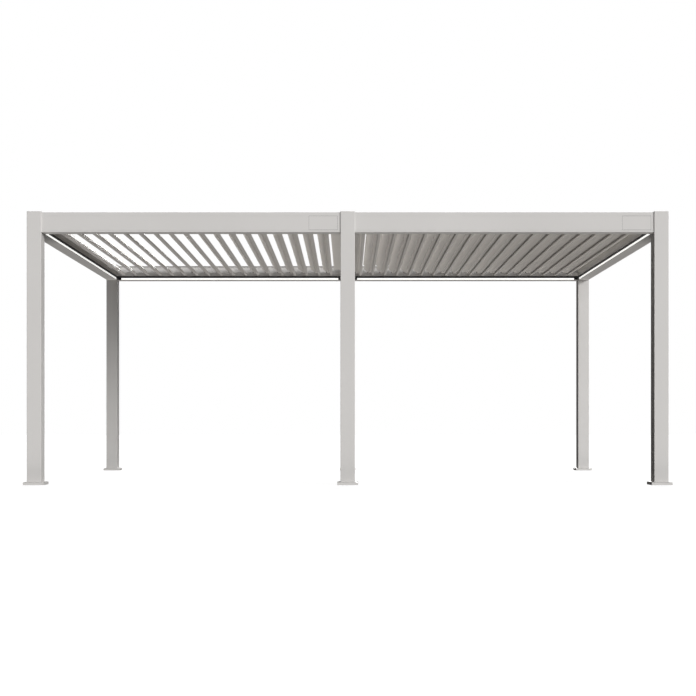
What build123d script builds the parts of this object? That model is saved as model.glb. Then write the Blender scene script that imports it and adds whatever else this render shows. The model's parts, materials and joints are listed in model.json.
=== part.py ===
"""Louvered pergola: six posts carry a beam frame of two bays, and each bay is roofed by turning louvers.

Millimetres, +X to the right along the front, +Y towards the back, +Z up.
The origin is on the floor, under the middle of the plan.
Every named piece is written to parts/NAME.step.
"""

from build123d import *
from math import cos, radians, sin
import os

# Driving sizes of the whole frame
frame_width = 6000.0
frame_depth = 4000.0
clear_height = 2366.0

# Posts, their caps and feet
post_side = 135.0
post_wall = 3.0
post_corner = 4.0
post_rise = 9.0
cap_thickness = 5.0
cap_corner = 2.5
cap_edge = 1.5
cap_plug_depth = 20.0
foot_plate_side = 182.0
foot_plate_corner = 4.0
foot_plate_thickness = 8.0
anchor_spacing = 156.0
anchor_hole = 12.0
cover_side = 195.0
cover_rim = 26.0
cover_height = 30.0
cover_wall = 2.0
slip_gap = 0.3

# Beams: a hollow lower chamber, an open gutter above it and a tall outer wall
beam_height = 185.0
beam_setback = 10.0
beam_wall = 3.0
chamber_height = 47.0
gutter_wall_height = 92.0
top_lip_width = 30.0
centre_top_half = 15.0
drip_lip_height = 9.0
drip_lip_proud = 1.5
groove_width = 1.5
groove_depth = 1.0
groove_heights = (18.0, 155.0)

# Light strips, each in front of a dark channel at the back of a rebate of the chamber
rebate_depth = 34.0
rebate_sill = 3.0
channel_wall = 2.0
channel_setback = 2.0
strip_height = 30.0
strip_thickness = 6.0
strip_corner_gap = 50.0

# Cover plates let into the front beams
access_length = 268.0
access_bottom = 21.0
access_top = 152.0
access_post_gap = 28.0
access_thickness = 1.5
access_seam = 1.0

# Louvers: a hollow body with a lip on its high side, and a plate with a V-shaped gutter on its low side.
# Closed, the lip laps over the plate of the louver before.
# Places along the blade and heights above its flat underside, with the blade closed flat.
louver_pitch = 151.4
first_pivot_insets = {"left": 32.0, "right": 37.0}
last_pivot_room = 145.0
pivot_height = 116.0
rest_tilt = 42.0
louver_wall = 1.6
pivot_along_blade = 72.0
pivot_above_base = 18.0
body_start = 20.0
body_foot_end = 104.5
body_crown_end = 106.0
crown_high_side = 37.0
crown_low_side = 34.5
body_corner = 2.5
lip_reach = 40.0
lip_height = 36.0
lip_drip = 4.4
plate_wall = 1.8
plate_height = 24.0
plate_bend = 140.0
gutter_point = 148.0
gutter_point_height = 2.0
tail_end = 164.5
tail_height = 24.0
louver_end_gap = 8.0
end_cap_thickness = 3.0

# Pivot pins and the bearing blocks that carry them
pin_diameter = 12.0
pin_clearance = 0.25
block_width = 22.0
block_depth = 16.0
block_below_pin = 44.0
block_above_pin = 12.0

# Pins, bores and anchor holes repeat so often that they are drawn with this many flats
round_flats = 8

# Fixed closing plates beside the last louver of each bay
closing_plate_height = 129.0
closing_plate_thickness = 2.5
closing_plate_lap = 88.0
closing_plate_upstand = 15.0

# Sizes that follow from those above
beam_width = post_side - beam_setback
post_half = post_side / 2
half_width = frame_width / 2
half_depth = frame_depth / 2
outer_x = half_width - beam_setback
outer_y = half_depth - beam_setback
inner_x = half_width - post_side
inner_y = half_depth - post_side
bay_length = inner_x - post_half
bay_middle = (inner_x + post_half) / 2
side_length = 2 * inner_y
centre_beam_half = beam_width / 2
beam_bottom = clear_height
post_top = beam_bottom + beam_height + post_rise
bay_clear = inner_x - centre_beam_half
louver_run = bay_clear - max(first_pivot_insets.values()) - last_pivot_room
louver_count = 1 + int(louver_run / louver_pitch)
pivot_z = beam_bottom + pivot_height
louver_length = 2 * (inner_y - louver_end_gap)
post_places = [
    (side, row, (x, y))
    for row, y in (("front", post_half - half_depth), ("back", half_depth - post_half))
    for side, x in (("left", post_half - half_width), ("centre", 0.0), ("right", half_width - post_half))
]
bay_starts = {"left": -inner_x, "right": centre_beam_half}
bay_ends = {"left": -centre_beam_half, "right": inner_x}


def outline(*points):
    """A flat face inside a closed run of straight edges."""
    return make_face(Polyline(*points, close=True))


def block(low, high):
    """A box between two opposite corners."""
    size = [b - a for a, b in zip(low, high)]
    middle = [(a + b) / 2 for a, b in zip(low, high)]
    return Pos(*middle) * Box(*size)


def square_prism(side, bottom, top, corner=0.0):
    """An upright square prism about the Z axis, with its corners cut off."""
    face = Rectangle(side, side)
    if corner:
        face = chamfer(face.vertices(), corner)
    return Pos(0, 0, bottom) * extrude(face, amount=top - bottom)


def round_bar(diameter, length):
    """A round bar along Z in both directions, with its corners on the diameter."""
    return extrude(RegularPolygon(diameter / 2, round_flats), amount=length / 2, both=True)


def round_bore(diameter, length):
    """The room of a round hole along Z in both directions, with its flats on the diameter."""
    face = RegularPolygon(diameter / 2, round_flats, major_radius=False)
    return extrude(face, amount=length / 2, both=True)


def bent_sheet(wall, *points):
    """A face of even thickness to the left of a run of straight edges."""
    return make_face(offset(Polyline(*points), amount=wall, kind=Kind.INTERSECTION, side=Side.LEFT))


def save(name, *pieces):
    """Write the pieces of one node."""
    shape = pieces[0] if len(pieces) == 1 else Compound(children=list(pieces))
    export_step(shape, f"parts/{name}.step")


# Posts

def post():
    """Square tube with rounded edges that stands on its foot plate."""
    height = post_top - cap_thickness - foot_plate_thickness
    bore_side = post_side - 2 * post_wall
    section = RectangleRounded(post_side, post_side, post_corner) - Rectangle(bore_side, bore_side)
    return Pos(0, 0, foot_plate_thickness) * extrude(section, amount=height)


def post_cap():
    """Flat cap with a softened edge and a plug that fits the tube's bore."""
    top = square_prism(post_side, post_top - cap_thickness, post_top, cap_corner)
    top = chamfer(top.faces().sort_by(Axis.Z)[-1].edges(), cap_edge)
    plug_side = post_side - 2 * post_wall - 2 * slip_gap
    plug_top = post_top - cap_thickness
    return top + square_prism(plug_side, plug_top - cap_plug_depth, plug_top)


def foot_plate():
    """Anchor plate under a post, with four bolt holes."""
    plate = square_prism(foot_plate_side, 0, foot_plate_thickness, foot_plate_corner)
    hole = round_bore(anchor_hole, 3 * foot_plate_thickness)
    return plate - GridLocations(anchor_spacing, anchor_spacing, 2, 2) * hole


def cover_skin(inset):
    """Rim and sloped top of the foot cover, drawn in by the inset."""
    rim_side = cover_side - 2 * inset
    neck_side = post_side + 2 * slip_gap + 2 * cover_wall - 2 * inset
    rim = square_prism(rim_side, 0, cover_rim - inset)
    low = Pos(0, 0, cover_rim - inset) * Rectangle(rim_side, rim_side)
    high = Pos(0, 0, cover_height - inset) * Rectangle(neck_side, neck_side)
    return rim + loft([low, high])


def foot_cover():
    """Hollow cover that hides the anchor plate and closes round the post."""
    post_hole = square_prism(post_side + 2 * slip_gap, -1, cover_height + 1)
    return cover_skin(0) - cover_skin(cover_wall) - post_hole


# Beams

def edge_beam_section():
    """Section of an outer beam: first size inwards from its outer face, second size up."""
    inner = beam_width
    rebate = inner - rebate_depth
    gutter_floor = chamber_height
    skin = outline(
        (-drip_lip_proud, 0), (inner, 0), (inner, rebate_sill), (rebate, rebate_sill),
        (rebate, gutter_floor - beam_wall), (inner, gutter_floor - beam_wall),
        (inner, gutter_wall_height), (inner - beam_wall, gutter_wall_height),
        (inner - beam_wall, gutter_floor), (beam_wall, gutter_floor),
        (beam_wall, beam_height - beam_wall), (top_lip_width, beam_height - beam_wall),
        (top_lip_width, beam_height), (0, beam_height), (0, drip_lip_height),
        (-drip_lip_proud, drip_lip_height))
    chamber = outline(
        (beam_wall, beam_wall), (rebate - beam_wall, beam_wall),
        (rebate - beam_wall, gutter_floor - beam_wall), (beam_wall, gutter_floor - beam_wall))
    section = skin - chamber
    for height in groove_heights:
        section -= Pos(groove_depth / 2, height) * Rectangle(groove_depth, groove_width)
    return section


def centre_beam_section():
    """Section of the centre beam: one middle web, a gutter and a light rebate on each side."""
    half = centre_beam_half
    half_web = beam_wall / 2
    rebate = half - rebate_depth
    floor = chamber_height
    right_half = outline(
        (0, 0), (half, 0), (half, rebate_sill), (rebate, rebate_sill), (rebate, floor - beam_wall),
        (half, floor - beam_wall), (half, gutter_wall_height),
        (half - beam_wall, gutter_wall_height), (half - beam_wall, floor), (half_web, floor),
        (half_web, beam_height - beam_wall), (centre_top_half, beam_height - beam_wall),
        (centre_top_half, beam_height), (0, beam_height))
    skin = right_half + mirror(right_half, about=Plane.YZ)
    chamber = Pos(0, floor / 2) * Rectangle(2 * (rebate - beam_wall), floor - 2 * beam_wall)
    return skin - chamber


def beam(section, middle, inward, length):
    """Run a section along its beam. The middle is on the section's own origin."""
    along = Vector(*inward).cross(Vector(0, 0, 1))
    plane = Plane(origin=(*middle, beam_bottom), x_dir=inward, z_dir=along)
    return plane * extrude(section, amount=length / 2, both=True)


def access_box(side, gap, thickness):
    """Room for a cover plate in the outer face of a front beam, less a gap all round."""
    right = {"left": -post_half, "right": inner_x}[side] - access_post_gap - gap
    left = right - access_length + 2 * gap
    bottom = beam_bottom + access_bottom + gap
    top = beam_bottom + access_top - gap
    return block((left, -outer_y, bottom), (right, -outer_y + thickness, top))


def cross_beam(row, side):
    """Beam of one bay along the front or the back. The front ones have a recess for an access cover."""
    sign = -1 if row == "front" else 1
    middle_x = {"left": -bay_middle, "right": bay_middle}[side]
    whole = beam(edge_beam_section(), (middle_x, sign * outer_y), (0, -sign, 0), bay_length)
    if row == "front":
        whole -= access_box(side, 0, access_thickness)
    return whole


def side_beam(side):
    """Beam along the left or the right end."""
    sign = -1 if side == "left" else 1
    return beam(edge_beam_section(), (sign * outer_x, 0), (-sign, 0, 0), side_length)


def bay_runs(side):
    """The four beams round one bay: middle of the inner face, way into the bay and length of each."""
    middle_x = {"left": -bay_middle, "right": bay_middle}[side]
    return [
        ((middle_x, -inner_y), (0, 1, 0), bay_length),
        ((middle_x, inner_y), (0, -1, 0), bay_length),
        ((bay_starts[side], 0), (1, 0, 0), side_length),
        ((bay_ends[side], 0), (-1, 0, 0), side_length),
    ]


def strip_channels(side):
    """Dark channels of one bay: each lines the back and the top of a rebate."""
    back, low, top = -rebate_depth, rebate_sill, chamber_height - beam_wall
    section = outline(
        (back, low), (back + channel_wall, low), (back + channel_wall, top - channel_wall),
        (-channel_setback, top - channel_wall), (-channel_setback, top), (back, top))
    return [beam(section, *place, length - 2 * slip_gap) for *place, length in bay_runs(side)]


def light_strips(side):
    """Light strips of one bay: each stands on the sill of a rebate, before its channel."""
    back, low = channel_wall - rebate_depth, rebate_sill
    front, top = back + strip_thickness, low + strip_height
    section = outline((back, low), (front, low), (front, top), (back, top))
    return [beam(section, *place, length - 2 * strip_corner_gap) for *place, length in bay_runs(side)]


def closing_plate(side):
    """Fixed plate from the tall wall of the beam to just over the last louver's tail, on its gutter wall."""
    wall_face = {"left": -beam_wall / 2, "right": outer_x - beam_wall}[side]
    leg = bay_ends[side]
    edge = louver_pivots(side)[-1] + closing_plate_lap
    low = closing_plate_height
    top = low + closing_plate_upstand
    thick = closing_plate_thickness
    section = outline(
        (edge, low), (leg, low), (leg, gutter_wall_height), (leg + thick, gutter_wall_height),
        (leg + thick, low), (wall_face, low), (wall_face, top), (wall_face - thick, top),
        (wall_face - thick, low + thick), (edge + thick, low + thick), (edge + thick, top), (edge, top))
    return beam(section, (0, 0), (1, 0, 0), side_length)


# Louvers

def louver_pivots(side):
    """Pivot lines of one bay, as X places."""
    first = bay_starts[side] + first_pivot_insets[side]
    return [first + number * louver_pitch for number in range(louver_count)]


def louver_section(hollow):
    """Section of the blade, closed flat, with the pivot at its origin."""
    body = outline(
        (body_start, 0), (body_foot_end, 0), (body_crown_end, crown_low_side),
        (body_start, crown_high_side))
    body = chamfer(body.vertices().group_by(Axis.Y)[0], body_corner)
    lip_tip = body_start - lip_reach
    lip = bent_sheet(
        louver_wall, (body_start + louver_wall, lip_height), (lip_tip, lip_height),
        (lip_tip, lip_height - lip_drip))
    gutter = bent_sheet(
        plate_wall, (body_foot_end, plate_height), (plate_bend, plate_height),
        (gutter_point, gutter_point_height), (tail_end, tail_height))
    section = body + lip + gutter
    if hollow:
        section -= offset(body, amount=-louver_wall, kind=Kind.INTERSECTION)
    return Pos(-pivot_along_blade, -pivot_above_base) * section


def louver():
    """Blade with its end caps and pivot pins, at its rest tilt, with the pivot line on the Y axis."""
    turn = radians(rest_tilt)
    plane = Plane(origin=(0, 0, 0), x_dir=(cos(turn), 0, -sin(turn)), z_dir=(0, -1, 0))
    blade_half = louver_length / 2 - end_cap_thickness
    blade = extrude(louver_section(True), amount=blade_half, both=True)
    cap = extrude(louver_section(False), amount=end_cap_thickness)
    pin_end = inner_y + beam_wall + block_depth
    pin_length = pin_end - louver_length / 2
    end = Pos(0, 0, blade_half) * cap + Pos(0, 0, pin_end - pin_length / 2) * round_bar(pin_diameter, pin_length)
    whole = blade + end + mirror(end, about=Plane.XY)
    return plane * whole


def bearing_block(pivot_x, sign):
    """Block screwed to the gutter side of a beam's inner wall, bored for a louver's pin."""
    near = inner_y + beam_wall
    far = near + block_depth
    low_y, high_y = sorted((sign * near, sign * far))
    body = block(
        (pivot_x - block_width / 2, low_y, pivot_z - block_below_pin),
        (pivot_x + block_width / 2, high_y, pivot_z + block_above_pin))
    bore = round_bore(pin_diameter + 2 * pin_clearance, 3 * block_depth)
    return body - Pos(pivot_x, (low_y + high_y) / 2, pivot_z) * Rot(X=90) * bore


def main():
    os.makedirs("parts", exist_ok=True)

    for side, row, place in post_places:
        save(f"{row}_{side}_post", Pos(*place) * post())
    save("post_caps", *[Pos(*place) * post_cap() for _, _, place in post_places])
    save("foot_plates", *[Pos(*place) * foot_plate() for _, _, place in post_places])
    save("foot_covers", *[Pos(*place) * foot_cover() for _, _, place in post_places])

    for row in ("front", "back"):
        for side in ("left", "right"):
            save(f"{row}_{side}_beam", cross_beam(row, side))
    for side in ("left", "right"):
        save(f"{side}_side_beam", side_beam(side))
        save(f"{side}_bay_light_strips", *light_strips(side))
    save("light_strip_channels", *strip_channels("left"), *strip_channels("right"))
    save("centre_beam", beam(centre_beam_section(), (0, 0), (1, 0, 0), side_length))
    save("access_covers", *[access_box(side, access_seam, access_thickness) for side in ("left", "right")])
    save("closing_plates", *[closing_plate(side) for side in ("left", "right")])

    one_louver = louver()
    blocks = []
    for side in ("left", "right"):
        for number, pivot_x in enumerate(louver_pivots(side), start=1):
            save(f"{side}_louver_{number:02d}", Pos(pivot_x, 0, pivot_z) * one_louver)
            blocks += [bearing_block(pivot_x, sign) for sign in (-1, 1)]
    save("bearing_blocks", *blocks)


main()
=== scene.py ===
# %% [markdown]
# Louvered pergola
#
# The pergola is a frame of six square posts and seven beams, painted a light warm grey, with two bays of
# louvers that turn together. The construction comes ready made from the imported model. This script gives it
# the looks: the camera, the light, the paint, the light strips and the small fittings that are too fine for
# the construction model, such as strip covers, black shadow seals that paint the shade over the strips, and
# screws.

# %% Load the pergola
import json
import math

import bmesh
import bpy
from mathutils import Matrix, Vector


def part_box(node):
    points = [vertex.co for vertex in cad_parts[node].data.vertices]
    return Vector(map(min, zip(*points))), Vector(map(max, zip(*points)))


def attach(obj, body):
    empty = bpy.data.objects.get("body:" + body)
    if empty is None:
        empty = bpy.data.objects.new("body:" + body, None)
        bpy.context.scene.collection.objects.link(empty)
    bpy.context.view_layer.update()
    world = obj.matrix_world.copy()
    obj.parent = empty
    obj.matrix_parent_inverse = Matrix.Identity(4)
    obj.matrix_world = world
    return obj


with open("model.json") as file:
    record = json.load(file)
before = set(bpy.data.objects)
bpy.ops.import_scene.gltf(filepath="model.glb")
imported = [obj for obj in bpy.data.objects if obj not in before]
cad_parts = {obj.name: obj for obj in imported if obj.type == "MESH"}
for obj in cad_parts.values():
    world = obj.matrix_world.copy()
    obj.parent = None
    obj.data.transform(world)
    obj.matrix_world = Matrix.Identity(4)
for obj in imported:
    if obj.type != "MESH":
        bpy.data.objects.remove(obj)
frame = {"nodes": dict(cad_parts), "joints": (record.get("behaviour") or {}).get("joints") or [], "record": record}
nodes = frame["nodes"]
joints = {joint["child"]: joint for joint in frame["joints"]}
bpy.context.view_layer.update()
scene = bpy.context.scene

# %% [markdown]
# The camera
#
# The photograph is a straight front view with strong perspective: the verticals stay upright and the horizon
# lies well below the middle of the picture. A camera that looks level and is shifted upwards gives exactly
# that. Tilting the camera up would make the posts lean towards each other. The focal length and the shift
# come from measurements in the photograph, in its own pixels.

# %% Place the camera
photo_width = 696
photo_middle = photo_width / 2
focal_pixels = 1252.0
horizon_row = 425.8
vanishing_column = 347.7
camera_height = 0.554
camera_distance = 13.70
sensor_width = 36.0
view_depth = 200.0

lens = bpy.data.cameras.new("photo_camera")
lens.sensor_width = sensor_width
lens.lens = sensor_width * focal_pixels / photo_width
lens.shift_x = (photo_middle - vanishing_column) / photo_width
lens.shift_y = (horizon_row - photo_middle) / photo_width
lens.clip_end = view_depth
camera = bpy.data.objects.new("photo_camera", lens)
camera.location = (0.0, -camera_distance, camera_height)
camera.rotation_euler = (math.radians(90), 0.0, 0.0)
scene.collection.objects.link(camera)
scene.camera = camera
scene.view_settings.view_transform = "Standard"
print("lens", round(lens.lens, 2), "mm, shift", round(lens.shift_x, 4), round(lens.shift_y, 4))

# %% [markdown]
# The light
#
# The photograph is lit softly from the right and the front: the faces that look left are almost dark, and the
# ones that look right are nearly as bright as the front. A sun lamp with a wide angle gives soft shadows and
# the same strength over six metres, where an area lamp would fade from one side to the other. A weaker second
# sun from the front fills in. Two more from behind, one high and one low, light the roof's upper side and the
# back, which the photograph doesn't show. They stand a little to the right, so that what looks left stays
# dark, and a faint one from the left only keeps it from going black. The last one shines up from below. It
# stands for the light that a white floor throws back, slightly warm, and it reaches the undersides of the
# louvers evenly, with thin dark shadows in their recesses. A white floor would do that too, but it would also
# light every upright face, and the dark sides of the posts would be lost. The strengths were found by
# rendering each lamp alone and comparing the tones with the photograph's.

# %% Add the lamps
lamp_distance = 10.0


def sun(name, azimuth, elevation, strength, spread, colour=(1.0, 1.0, 1.0)):
    """A sun lamp. Azimuth 0 shines from the front and 90 from the right, in degrees."""
    lamp = bpy.data.lights.new(name, "SUN")
    lamp.energy = strength
    lamp.color = colour
    lamp.angle = math.radians(spread)
    turn, rise = math.radians(azimuth), math.radians(elevation)
    level = math.cos(rise)
    towards = Vector((math.sin(turn) * level, -math.cos(turn) * level, math.sin(rise)))
    obj = bpy.data.objects.new(name, lamp)
    obj.rotation_euler = towards.to_track_quat("Z", "Y").to_euler()
    obj.location = lamp_distance * towards
    scene.collection.objects.link(obj)


sun("key_light", azimuth=48, elevation=16, strength=2.95, spread=24)
sun("front_fill", azimuth=4, elevation=8, strength=1.0, spread=30)
sun("back_light", azimuth=172, elevation=55, strength=2.7, spread=16)
sun("back_fill", azimuth=172, elevation=18, strength=1.1, spread=12)
sun("left_fill", azimuth=262, elevation=25, strength=0.18, spread=30)
sun("low_light", azimuth=0, elevation=-80, strength=1.45, spread=10, colour=(1.0, 0.98, 0.955))

# %% [markdown]
# The white surroundings
#
# The background of the photograph is pure white. A world that bright would wash out the dark sides of the
# posts, so the white is seen by the camera alone: a Light Path node tells the camera's rays from the others,
# which find a dim world. Reflections get a small share of the white too, so that steel doesn't turn black.

# %% Build the world
world_white = 1.0
world_dim = 0.03
gloss_share = 0.08


def grey(tone):
    """A neutral colour."""
    return (tone, tone, tone, 1.0)


def link(tree, source, target):
    """Join two sockets."""
    tree.links.new(source, target)


def math_node(tree, operation, first, second):
    """A Math node of two sockets or numbers."""
    node = tree.nodes.new("ShaderNodeMath")
    node.operation = operation
    for place, value in enumerate((first, second)):
        if isinstance(value, (int, float)):
            node.inputs[place].default_value = value
        else:
            link(tree, value, node.inputs[place])
    return node.outputs[0]


def seen_directly(tree):
    """One for the camera's own rays, a share for reflections, and zero for all other light."""
    ray = tree.nodes.new("ShaderNodeLightPath").outputs
    mirrored = math_node(tree, "MAXIMUM", ray["Is Glossy Ray"], ray["Is Transmission Ray"])
    share = math_node(tree, "MULTIPLY", mirrored, gloss_share)
    return math_node(tree, "MAXIMUM", ray["Is Camera Ray"], share)


def show_to_camera(tree, lighting, shown, output):
    """Light things with one shader and show the other to the camera."""
    mix = tree.nodes.new("ShaderNodeMixShader")
    link(tree, seen_directly(tree), mix.inputs["Fac"])
    link(tree, lighting.outputs[0], mix.inputs[1])
    link(tree, shown.outputs[0], mix.inputs[2])
    link(tree, mix.outputs[0], tree.nodes.new(output).inputs["Surface"])


world = bpy.data.worlds.new("white_studio")
scene.world = world
world.use_nodes = True
tree = world.node_tree
tree.nodes.clear()
dim = tree.nodes.new("ShaderNodeBackground")
bright = tree.nodes.new("ShaderNodeBackground")
for sky, strength in ((dim, world_dim), (bright, world_white)):
    sky.inputs["Color"].default_value = grey(1.0)
    sky.inputs["Strength"].default_value = strength
show_to_camera(tree, dim, bright, "ShaderNodeOutputWorld")
print("world", world.name, "nodes", len(tree.nodes))

# %% [markdown]
# The floor
#
# The pergola stands on a white floor that melts into the background. The floor works as the world does: it
# throws hardly any light back, and what the camera sees of it is white plus a share of its real shading, so
# the pergola's shadow still falls on it. A plain white floor would be simpler, but it would show its edge and
# light the dark faces. The floor itself casts no shadow, or the lamp below it would light nothing.

# %% Lay the floor
floor_side = 120.0
floor_bounce = 0.03
floor_shade = 0.16
floor_glow = 0.93


def as_mesh(shape, name):
    """Turn a bmesh into mesh data, and free it."""
    data = bpy.data.meshes.new(name)
    shape.to_mesh(data)
    shape.free()
    return data


sheet = bmesh.new()
bmesh.ops.create_grid(sheet, x_segments=1, y_segments=1, size=floor_side / 2)
floor = bpy.data.objects.new("floor", as_mesh(sheet, "floor"))
scene.collection.objects.link(floor)
floor.visible_shadow = False

floor_paper = bpy.data.materials.new("floor_paper")
floor_paper.use_nodes = True
tree = floor_paper.node_tree
tree.nodes.clear()
bounce = tree.nodes.new("ShaderNodeBsdfDiffuse")
bounce.inputs["Color"].default_value = grey(floor_bounce)
shade = tree.nodes.new("ShaderNodeBsdfDiffuse")
shade.inputs["Color"].default_value = grey(floor_shade)
glow = tree.nodes.new("ShaderNodeEmission")
glow.inputs["Strength"].default_value = floor_glow
paper = tree.nodes.new("ShaderNodeAddShader")
link(tree, shade.outputs[0], paper.inputs[0])
link(tree, glow.outputs[0], paper.inputs[1])
show_to_camera(tree, bounce, paper, "ShaderNodeOutputMaterial")
floor.data.materials.append(floor_paper)
print("floor", floor_side, "m square")

# %% [markdown]
# The powder coat
#
# The finishes share some effects, and each effect is a node group, built once. The first is the skin of a
# powder coat. The paint is sprayed as powder and baked, which leaves fine dimples like orange peel, and the
# tone drifts a little along the profiles. An image could carry that, but it would have to be stretched over
# every profile. Noises do it without one: a fine one for the dimples, a wide one for the tone and one between
# them for the gloss. All read Object coordinates, so the pattern keeps its real size.

# %% Build the powder coat group
drift_scale = 0.9
drift_limits = (0.3, 0.7)
speck_limits = (0.25, 0.75)
speck_share = 0.07
speck_tone = 0.2
gloss_scale = 6.0


def node_group(name, inputs, outputs):
    """A shader group with named sockets. Each input is a name, a kind and a starting value."""
    group = bpy.data.node_groups.new(name, "ShaderNodeTree")
    for label, kind, value in inputs:
        socket = group.interface.new_socket(label, in_out="INPUT", socket_type=f"NodeSocket{kind}")
        socket.default_value = value
    for label, kind in outputs:
        group.interface.new_socket(label, in_out="OUTPUT", socket_type=f"NodeSocket{kind}")
    start = group.nodes.new("NodeGroupInput")
    end = group.nodes.new("NodeGroupOutput")
    return group, start.outputs, end.inputs


def noise(tree, vector, scale, detail=2.0, roughness=0.5):
    """A noise texture on the given coordinates."""
    texture = tree.nodes.new("ShaderNodeTexNoise")
    texture.inputs["Detail"].default_value = detail
    texture.inputs["Roughness"].default_value = roughness
    if isinstance(scale, float):
        texture.inputs["Scale"].default_value = scale
    else:
        link(tree, scale, texture.inputs["Scale"])
    link(tree, vector, texture.inputs["Vector"])
    return texture.outputs["Fac"]


def to_range(tree, value, limits, new_limits=(0.0, 1.0)):
    """Stretch a value from one range to another, and clamp it."""
    stretch = tree.nodes.new("ShaderNodeMapRange")
    labels = ("From Min", "From Max", "To Min", "To Max")
    for label, limit in zip(labels, (*limits, *new_limits)):
        stretch.inputs[label].default_value = limit
    link(tree, value, stretch.inputs["Value"])
    return stretch.outputs["Result"]


def blend_colours(tree, factor, first, second):
    """Mix two colours, each a socket or a tuple."""
    node = tree.nodes.new("ShaderNodeMix")
    node.data_type = "RGBA"
    link(tree, factor, node.inputs["Factor"])
    for label, value in (("A", first), ("B", second)):
        socket = [s for s in node.inputs if s.name == label and s.type == "RGBA"][0]
        if isinstance(value, tuple):
            socket.default_value = value
        else:
            link(tree, value, socket)
    return [s for s in node.outputs if s.type == "RGBA"][0]


powder_coat, given, wanted = node_group(
    "powder_coat",
    [("Vector", "Vector", (0.0, 0.0, 0.0)), ("Light Tone", "Color", grey(0.6)),
     ("Dark Tone", "Color", grey(0.5)), ("Peel Scale", "Float", 900.0),
     ("Roughness Low", "Float", 0.4), ("Roughness High", "Float", 0.5)],
    [("Color", "Color"), ("Roughness", "Float"), ("Height", "Float")])
tree = powder_coat
drift = to_range(tree, noise(tree, given["Vector"], drift_scale, detail=3.0), drift_limits)
speck = noise(tree, given["Vector"], given["Peel Scale"], detail=1.0)
specks = to_range(tree, speck, speck_limits, (0.0, speck_share))
drifting = blend_colours(tree, drift, given["Light Tone"], given["Dark Tone"])
link(tree, blend_colours(tree, specks, drifting, grey(speck_tone)), wanted["Color"])
span = math_node(tree, "SUBTRACT", given["Roughness High"], given["Roughness Low"])
part = math_node(tree, "MULTIPLY", span, noise(tree, given["Vector"], gloss_scale, detail=4.0))
link(tree, math_node(tree, "ADD", given["Roughness Low"], part), wanted["Roughness"])
link(tree, speck, wanted["Height"])
print("group", powder_coat.name, "nodes", len(tree.nodes))

# %% [markdown]
# Dust
#
# The second shared effect is dust. Outdoors, fine dust settles on what looks up and dries in faint patches.
# The upward share of the surface's normal says where it lies, and a noise breaks it up. The group only puts
# out a mask, so each finish decides how much of it shows.

# %% Build the dust group
dust_slope = (0.35, 0.95)
patch_scale = 4.5
patch_limits = (0.38, 0.66)

settled_dust, given, wanted = node_group(
    "settled_dust", [("Vector", "Vector", (0.0, 0.0, 0.0)), ("Amount", "Float", 0.5)], [("Mask", "Float")])
tree = settled_dust
parts = tree.nodes.new("ShaderNodeSeparateXYZ")
link(tree, tree.nodes.new("ShaderNodeNewGeometry").outputs["Normal"], parts.inputs[0])
upward = to_range(tree, parts.outputs["Z"], dust_slope)
cloud = noise(tree, given["Vector"], patch_scale, detail=6.0, roughness=0.65)
settled = math_node(tree, "MULTIPLY", upward, to_range(tree, cloud, patch_limits))
link(tree, math_node(tree, "MULTIPLY", settled, given["Amount"]), wanted["Mask"])
print("group", settled_dust.name, "nodes", len(tree.nodes))

# %% [markdown]
# The paint
#
# Posts, beams and louvers wear the same light warm grey powder coat. It is a satin finish: dull enough to
# hide the reflections of things, but with a soft sheen along the light. The Principled shader takes the
# colour and the dimples from the groups. Its coat layer isn't used, because powder paint has no lacquer.
# The louvers are a touch lighter than the frame, and carry more dust because they lie open to the sky.

# %% Make the painted finishes
peel_scale = 1100.0
peel_depth = 0.0004
peel_strength = 0.25
satin_roughness = (0.44, 0.56)
paint_specular = 0.3
dust_colour = (0.50, 0.47, 0.42, 1.0)
dust_dullness = 0.5


def finish(name):
    """A new material with its shader, ready for its nodes."""
    material = bpy.data.materials.new(name)
    material.use_nodes = True
    shader = material.node_tree.nodes["Principled BSDF"]
    return material, material.node_tree, shader


def object_coordinates(tree):
    """Coordinates in metres, from the pergola's own origin."""
    return tree.nodes.new("ShaderNodeTexCoord").outputs["Object"]


def place_group(tree, group, **values):
    """Put a shared group in a material, with its own values."""
    node = tree.nodes.new("ShaderNodeGroup")
    node.node_tree = group
    link(tree, object_coordinates(tree), node.inputs["Vector"])
    for label, value in values.items():
        node.inputs[label.replace("_", " ")].default_value = value
    return node.outputs


def bump(tree, shader, height, distance, strength):
    """Raise the surface by a height, in metres."""
    node = tree.nodes.new("ShaderNodeBump")
    node.inputs["Distance"].default_value = distance
    node.inputs["Strength"].default_value = strength
    link(tree, height, node.inputs["Height"])
    link(tree, node.outputs["Normal"], shader.inputs["Normal"])


def paint(name, light_tone, dark_tone, dust):
    """Powder coat in one colour."""
    material, tree, shader = finish(name)
    low, high = satin_roughness
    coat = place_group(
        tree, powder_coat, Light_Tone=light_tone, Dark_Tone=dark_tone, Peel_Scale=peel_scale,
        Roughness_Low=low, Roughness_High=high)
    dusty = place_group(tree, settled_dust, Amount=dust)["Mask"]
    link(tree, blend_colours(tree, dusty, coat["Color"], dust_colour), shader.inputs["Base Color"])
    duller = math_node(tree, "MULTIPLY", dusty, dust_dullness)
    link(tree, math_node(tree, "ADD", coat["Roughness"], duller), shader.inputs["Roughness"])
    shader.inputs["Specular IOR Level"].default_value = paint_specular
    bump(tree, shader, coat["Height"], peel_depth, peel_strength)
    return material


frame_paint = paint("frame_paint", (0.582, 0.567, 0.552, 1.0), (0.558, 0.543, 0.528, 1.0), dust=0.16)
louver_paint = paint("louver_paint", (0.612, 0.588, 0.560, 1.0), (0.584, 0.560, 0.532, 1.0), dust=0.22)
print("paints", frame_paint.name, louver_paint.name)
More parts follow.
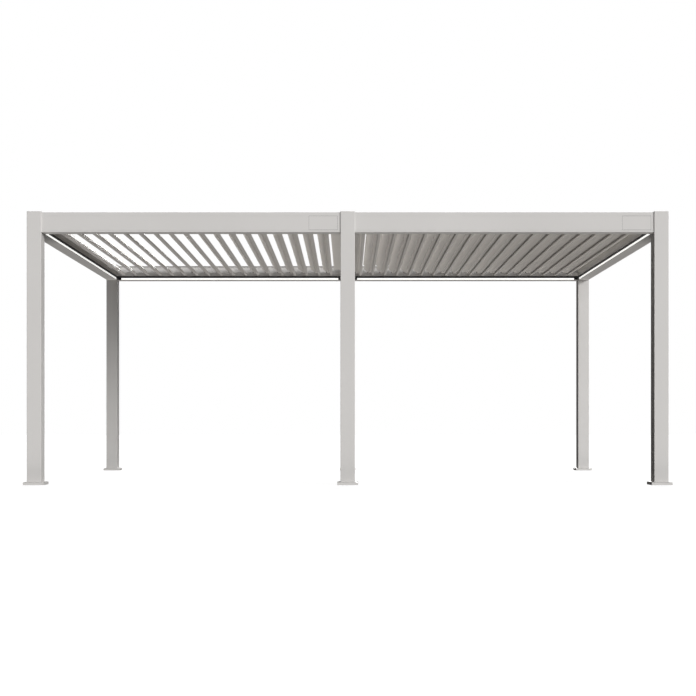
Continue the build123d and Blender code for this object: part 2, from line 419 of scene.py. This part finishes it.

# %% [markdown]
# The light strips
#
# A white strip runs round the inside of each bay. It is a channel closed by an opal cover, with a row of
# small diodes behind it. The channel's black is painted shade: it stands for the shadow in the slot round the
# strip. The cover is milky plastic that glows. Lamps behind a see-through cover would be truer, but they would
# be slow and noisy, so Emission makes it read as white from every side. A wave along the strip brightens it a
# little over each diode. At a scale of 1, a wave texture has 20 / tau waves a metre.

# %% Make the diffuser
diode_spacing = 0.0166
waves_per_metre = 20.0 / math.tau
milk_scale = 14.0
opal_roughness = 0.38
between_diodes = (0.93, 0.93, 0.91, 1.0)
over_diodes = (1.0, 1.0, 0.98, 1.0)
thin_milk = (0.86, 0.86, 0.84, 1.0)
thick_milk = (0.90, 0.90, 0.88, 1.0)

diffuser, tree, shader = finish("light_diffuser")
waves = []
for direction in ("X", "Y"):
    wave = tree.nodes.new("ShaderNodeTexWave")
    wave.bands_direction = direction
    wave.inputs["Scale"].default_value = 1.0 / (waves_per_metre * diode_spacing)
    link(tree, object_coordinates(tree), wave.inputs["Vector"])
    waves.append(wave.outputs["Fac"])
dots = math_node(tree, "MULTIPLY", *waves)
link(tree, blend_colours(tree, dots, between_diodes, over_diodes), shader.inputs["Emission Color"])
milk = noise(tree, object_coordinates(tree), milk_scale)
link(tree, blend_colours(tree, milk, thin_milk, thick_milk), shader.inputs["Base Color"])
shader.inputs["Emission Strength"].default_value = 1.0
shader.inputs["Roughness"].default_value = opal_roughness
print("diodes", round(1.0 / diode_spacing), "per metre")

# %% [markdown]
# Steel and plastic
#
# The anchor plates under the posts are galvanised steel: dull silver with the pale flakes that zinc forms as
# it sets. A Voronoi texture imitates them, because its cells meet at straight edges as the flakes do. The
# screws are brighter steel with a fine brushed grain. The bearings are black moulded plastic with a fine grain
# that catches the light, which a small bump gives. The same black on the strip channels and the shadow seals
# is painted shade, for the shadow in the slots round the light strips.

# %% Make the steel and the plastic
flake_scale = 90.0
brush_scale = 700.0
grain_scale = 1600.0
grain_depth = 0.0003
grain_strength = 0.3
noise_limits = (0.2, 0.8)


def vary_tone(tree, shader, mask, dark_tone, light_tone):
    """Let the colour run between two tones."""
    link(tree, blend_colours(tree, mask, dark_tone, light_tone), shader.inputs["Base Color"])


def vary_roughness(tree, shader, mask, limits, roughness):
    """Let the roughness run between two values."""
    link(tree, to_range(tree, mask, limits, roughness), shader.inputs["Roughness"])


zinc_steel, tree, shader = finish("galvanised_steel")
flakes = tree.nodes.new("ShaderNodeTexVoronoi")
flakes.inputs["Scale"].default_value = flake_scale
link(tree, object_coordinates(tree), flakes.inputs["Vector"])
spangle = tree.nodes.new("ShaderNodeSeparateColor")
link(tree, flakes.outputs["Color"], spangle.inputs[0])
vary_tone(tree, shader, spangle.outputs["Red"], (0.46, 0.47, 0.48, 1.0), (0.62, 0.63, 0.64, 1.0))
vary_roughness(tree, shader, spangle.outputs["Green"], (0.0, 1.0), (0.38, 0.58))
shader.inputs["Metallic"].default_value = 1.0

screw_steel, tree, shader = finish("screw_steel")
brushed = noise(tree, object_coordinates(tree), brush_scale, detail=3.0)
vary_tone(tree, shader, brushed, (0.52, 0.52, 0.53, 1.0), (0.66, 0.66, 0.67, 1.0))
vary_roughness(tree, shader, brushed, noise_limits, (0.28, 0.44))
shader.inputs["Metallic"].default_value = 1.0

# Where this black dresses the strip channels and the shadow seals, it is painted shade of the slots round the
# strips.
black_plastic, tree, shader = finish("black_plastic")
grain = noise(tree, object_coordinates(tree), grain_scale)
vary_tone(tree, shader, grain, (0.020, 0.020, 0.021, 1.0), (0.040, 0.040, 0.041, 1.0))
vary_roughness(tree, shader, grain, noise_limits, (0.50, 0.66))
bump(tree, shader, grain, grain_depth, grain_strength)
print("finishes", zinc_steel.name, screw_steel.name, black_plastic.name)

# %% [markdown]
# Dressing the construction
#
# Each node of the construction takes the finish of its material slot. The record of the model says which slot
# that is, so no list of names is needed here.

# %% Dress the construction
finishes = {
    "frame_coating": frame_paint,
    "louver_coating": louver_paint,
    "foot_steel": zinc_steel,
    "light_diffuser": diffuser,
    # On the strip channels this black is painted shade, for the shadow in the slot round each light strip.
    "black_plastic": black_plastic,
}
for subpart in frame["record"]["subparts"]:
    mesh = nodes[subpart["node"]].data
    mesh.materials.clear()
    mesh.materials.append(finishes[subpart["material_slot"]])

# %% [markdown]
# The beams round a bay
#
# The covers and the black shadow seals of the light strips run along the four beams round each bay. Their places
# and lengths are worked out from the boxes of the strips and the posts, so they follow the construction.

# %% Find the beams round each bay
sill_height = 0.003
strip_set_back = 0.032
corner_gap = 0.050


def bay_runs(side):
    """The beams round one bay: middle of the inner face at the beam's bottom, turn about Z and length."""
    low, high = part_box(f"{side}_bay_light_strips")
    near, far = low.y + strip_set_back, high.y - strip_set_back
    left, right = low.x + strip_set_back, high.x - strip_set_back
    first, last = {"left": ("left", "centre"), "right": ("centre", "right")}[side]
    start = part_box(f"front_{first}_post")[1].x
    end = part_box(f"front_{last}_post")[0].x
    bottom = low.z - sill_height
    middle = (start + end) / 2
    return [
        ((middle, near, bottom), 0, end - start),
        ((middle, far, bottom), 180, end - start),
        ((left, 0.0, bottom), -90, far - near),
        ((right, 0.0, bottom), 90, far - near),
    ]


bays = {side: bay_runs(side) for side in ("left", "right")}
print("inner lengths", {side: [round(run[2], 3) for run in runs] for side, runs in bays.items()})

# %% [markdown]
# Bars along the beams
#
# Covers, plugs and shadow seals are all bars, so one helper places them: it takes a piece that was modelled
# lengthwise on X, with its back to -Y, and turns it to each of the beams. A bar starts as a cube, because
# create_cube gives closed faces that already point outwards, and the other operators give it its section.

# %% Build bars and place them
tolerance = 1e-5


def bar(start, end, back, front, low, high):
    """A bar along X as a bmesh, from one end to the other, with its section in Y and Z."""
    shape = bmesh.new()
    bmesh.ops.create_cube(shape, size=1.0)
    bmesh.ops.scale(shape, verts=shape.verts, vec=(end - start, front - back, high - low))
    middle = ((start + end) / 2, (front + back) / 2, (low + high) / 2)
    bmesh.ops.translate(shape, verts=shape.verts, vec=middle)
    return shape


def round_long_edges(shape, front, heights, radius, segments):
    """Round the edges along X that lie at a depth and at one of some heights."""
    chosen = []
    for edge in shape.edges:
        start, end = (vertex.co for vertex in edge.verts)
        middle = (start + end) / 2
        across = (end - start).yz.length
        away = min(abs(middle.z - height) for height in heights)
        if max(across, abs(middle.y - front), away) < tolerance:
            chosen.append(edge)
    bmesh.ops.bevel(
        shape, geom=chosen, offset=radius, segments=segments, profile=0.5, affect="EDGES", material=-1)


def add_to(joined, shape):
    """Add one bmesh to another, and free it."""
    data = as_mesh(shape, "added")
    joined.from_mesh(data)
    bpy.data.meshes.remove(data)


def fit_piece(shape, name, material, body):
    """Make a finished bmesh a piece of the pergola that rides on a body, and count its faces."""
    data = as_mesh(shape, name)
    data.materials.append(material)
    obj = bpy.data.objects.new(name, data)
    scene.collection.objects.link(obj)
    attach(obj, body)
    return len(data.polygons)


def along_beams(name, build, material):
    """Build a bar for each beam's length, and join them all into one piece on the frame."""
    joined = bmesh.new()
    for runs in bays.values():
        for place, turn, length in runs:
            shape = build(length)
            matrix = Matrix.Translation(place) @ Matrix.Rotation(math.radians(turn), 4, "Z")
            bmesh.ops.transform(shape, matrix=matrix, verts=shape.verts)
            add_to(joined, shape)
    faces = fit_piece(joined, name, material, "frame")
    print(name, "faces", faces)


print("beams with a strip", sum(len(runs) for runs in bays.values()))

# %% [markdown]
# Opal covers
#
# The construction has each strip as a plain bar at the back of its rebate. The real one wears an opal cover
# that stands further out, with two rounded edges, and a plug closes each of its ends. A bevel rounds the
# edges of the bar, which keeps its long faces flat.

# %% Cover the strips
cover_back = -0.0265
cover_front = -0.003
cover_low = 0.0033
cover_high = 0.025
cover_rounding = 0.003
cover_segments = 3
plug_length = 0.004
plug_rim = 0.0006


def opal_cover(length):
    """Cover of one strip, rounded along its two front edges."""
    half = length / 2 - corner_gap
    shape = bar(-half, half, cover_back, cover_front, cover_low, cover_high)
    round_long_edges(shape, cover_front, (cover_low, cover_high), cover_rounding, cover_segments)
    return shape


def end_plugs(length):
    """The two plugs that close a cover, a little larger than its section."""
    half = length / 2 - corner_gap
    front, high = cover_front + plug_rim, cover_high + plug_rim
    both = bmesh.new()
    for sign in (-1, 1):
        start, end = sorted((sign * (half - plug_rim), sign * (half + plug_length)))
        plug = bar(start, end, cover_back, front, cover_low, high)
        round_long_edges(plug, front, (cover_low, high), cover_rounding, cover_segments)
        add_to(both, plug)
    return both


along_beams("light_strip_covers", opal_cover, diffuser)
along_beams("light_strip_plugs", end_plugs, black_plastic)

# %% [markdown]
# Shadow seals
#
# Above each cover a black strip closes the rebate. Its black is painted shade: it stands for the shadow gap
# over the strip and draws the dark line there. Its section is an L. A level cut through the bar, and an extrusion
# of the back of its lower part, make it in two steps, where two joined bars would leave faces inside.

# %% Put black shadow seals over the covers
shadow_seal_low = 0.0252
shadow_seal_high = 0.048
shadow_seal_proud = 0.0015
shadow_seal_lip = 0.0015
shadow_seal_reach = 0.010
shadow_seal_end_gap = 0.002
shadow_seal_rounding = shadow_seal_proud * 0.6
shadow_seal_segments = 2


def all_of(shape):
    """Every vertex, edge and face of a bmesh."""
    return shape.verts[:] + shape.edges[:] + shape.faces[:]


def vertices_in(geometry):
    """The vertices among an operator's results."""
    return [item for item in geometry if isinstance(item, bmesh.types.BMVert)]


def shadow_seal(length):
    """L-shaped black strip whose black is painted shade of the gap over the cover: a flange on the beam's face,
    and a lip that reaches back over the cover.
    """
    half = length / 2 - shadow_seal_end_gap
    shape = bar(-half, half, 0.0, shadow_seal_proud, shadow_seal_low, shadow_seal_high)
    bmesh.ops.bisect_plane(
        shape, geom=all_of(shape), plane_co=(0, 0, shadow_seal_low + shadow_seal_lip), plane_no=(0, 0, 1))
    backs = [face for face in shape.faces if face.normal.y < -tolerance]
    lowest = min(backs, key=lambda face: face.calc_center_median().z)
    lip = bmesh.ops.extrude_face_region(shape, geom=[lowest])["geom"]
    bmesh.ops.delete(shape, geom=[lowest], context="FACES_ONLY")
    bmesh.ops.translate(shape, verts=vertices_in(lip), vec=(0, -shadow_seal_reach, 0))
    round_long_edges(shape, shadow_seal_proud, (shadow_seal_low, shadow_seal_high), shadow_seal_rounding, shadow_seal_segments)
    bmesh.ops.recalc_face_normals(shape, faces=shape.faces)
    return shape


# The shadow seals' black is painted shade: it stands for the shadow gap over each light strip.
along_beams("light_strip_shadow_seals", shadow_seal, black_plastic)

# %% [markdown]
# Gaskets of the access covers
#
# At its right-hand end each front beam has a pocket with a flush cover, where the drive and the wires are
# reached. The flat head of a black gasket hides the joint round the cover, and draws the fine line that shows
# there in the photograph. It starts as a grid of one face, a little larger than the cover. An inset makes a
# ring of narrow faces round it, the middle is deleted, and an extrusion gives the ring its thickness.

# %% Seal the access covers
cover_length = 0.266
gasket_width = 0.0013
gasket_overlap = 0.00015
gasket_thickness = 0.0003


def cover_gasket(length, height):
    """Upright rectangular ring round a cover, with its front at y = 0."""
    ring = bmesh.new()
    bmesh.ops.create_grid(ring, x_segments=1, y_segments=1, size=0.5)
    around = 2 * (gasket_width - gasket_overlap)
    bmesh.ops.scale(ring, verts=ring.verts, vec=(length + around, height + around, 1.0))
    bmesh.ops.rotate(ring, verts=ring.verts, matrix=Matrix.Rotation(math.radians(90), 3, "X"))
    middle = ring.faces[:]
    bmesh.ops.inset_individual(ring, faces=middle, thickness=gasket_width, use_even_offset=True)
    bmesh.ops.delete(ring, geom=middle, context="FACES")
    back = bmesh.ops.extrude_face_region(ring, geom=ring.faces[:])["geom"]
    bmesh.ops.translate(ring, verts=vertices_in(back), vec=(0, gasket_thickness, 0))
    bmesh.ops.recalc_face_normals(ring, faces=ring.faces)
    return ring


low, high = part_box("access_covers")
rings = cover_gasket(cover_length, high.z - low.z)
right_ring = bmesh.ops.duplicate(rings, geom=all_of(rings))["geom"]
bmesh.ops.translate(rings, verts=vertices_in(right_ring), vec=(high.x - low.x - cover_length, 0, 0))
left_middle = (low.x + cover_length / 2, low.y - gasket_thickness, (low.z + high.z) / 2)
bmesh.ops.translate(rings, verts=rings.verts, vec=left_middle)
print("open edges of the gaskets", sum(len(edge.link_faces) != 2 for edge in rings.edges))
ring_faces = fit_piece(rings, "access_cover_gaskets", black_plastic, "frame")
print("access_cover_gaskets faces", ring_faces)

# %% [markdown]
# Screw heads
#
# Each louver end is closed by a cap with two screws beside the pin, and each bearing block is held to the
# beam by two. A pan-head screw is a low disc with a rounded rim and a sunk socket. One is built from a
# circle: extruded, bevelled round its top edge, inset and pushed in. It points along +Z, and is turned and
# moved to each of its places. There are nearly 300 of them, so each has few faces.

# %% Build one screw head and a helper that repeats it
head_sides = 12
head_segments = 2
head_rounding = 0.4
socket_rim = 0.38
socket_depth = 0.6


def screw_head(radius, height):
    """Pan head on the XY plane, pointing up. Its rounding and socket are shares of its size."""
    head = bmesh.new()
    bmesh.ops.create_circle(head, cap_ends=True, segments=head_sides, radius=radius)
    top = bmesh.ops.extrude_face_region(head, geom=head.faces[:])["geom"]
    bmesh.ops.translate(head, verts=vertices_in(top), vec=(0, 0, height))
    crown = max(head.faces, key=lambda face: face.calc_center_median().z)
    bmesh.ops.bevel(
        head, geom=list(crown.edges), offset=height * head_rounding, segments=head_segments, profile=0.5,
        affect="EDGES", material=-1)
    crown = max(head.faces, key=lambda face: (len(face.verts), face.calc_center_median().z))
    bmesh.ops.inset_region(head, faces=[crown], thickness=radius * socket_rim)
    bmesh.ops.translate(head, verts=crown.verts, vec=(0, 0, -height * socket_depth))
    bmesh.ops.recalc_face_normals(head, faces=head.faces)
    return as_mesh(head, "screw_head")


def facing(direction, point):
    """Turn +Z to a direction and move to a point."""
    turn = Vector(direction).to_track_quat("Z", "X").to_matrix().to_4x4()
    return Matrix.Translation(point) @ turn


def set_screws(name, screw, places, body):
    """Join copies of a screw at the given places into one piece that rides on a body."""
    joined = bmesh.new()
    for place in places:
        before = len(joined.verts)
        joined.from_mesh(screw)
        joined.verts.ensure_lookup_table()
        bmesh.ops.transform(joined, matrix=place, verts=joined.verts[before:])
    fit_piece(joined, name, screw_steel, body)


cap_screw = screw_head(radius=0.0045, height=0.0022)
block_screw = screw_head(radius=0.0040, height=0.0025)
print("screw heads have", len(cap_screw.polygons), "faces each")

# %% [markdown]
# Screws of the louver caps
#
# The two screws of a cap lie on the line along the blade, which leans as the louver does in the photograph.
# Each louver turns about its own pin, so its screws are a piece of their own that rides on it.

# %% Screw the caps to the louver ends
rest_tilt = math.radians(42)
cap_screw_distances = (-0.039, 0.021)
pin_overhang = 0.027
along_blade = Vector((math.cos(rest_tilt), 0.0, -math.sin(rest_tilt)))

for name, joint in joints.items():
    low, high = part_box(name)
    places = []
    for sign, end in ((-1, low.y + pin_overhang), (1, high.y - pin_overhang)):
        for distance in cap_screw_distances:
            point = Vector(joint["pos_m"]) + distance * along_blade
            point.y = end
            places.append(facing((0, sign, 0), point))
    set_screws(f"{name}_cap_screws", cap_screw, places, name)
print("louvers with screws", len(joints))

# %% [markdown]
# Screws of the bearing blocks
#
# Two screws under each pin hold its block to the gutter wall. The blocks stay with the frame, so all of their
# screws are one piece.

# %% Screw the bearing blocks to the beams
block_low, block_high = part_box("bearing_blocks")
block_screw_drops = (0.019, 0.034)

places = []
for joint in joints.values():
    x, _, z = joint["pos_m"]
    for sign, face in ((-1, block_low.y), (1, block_high.y)):
        for drop in block_screw_drops:
            places.append(facing((0, sign, 0), (x, face, z - drop)))
set_screws("bearing_block_screws", block_screw, places, "frame")
print("screws in the blocks", len(places))
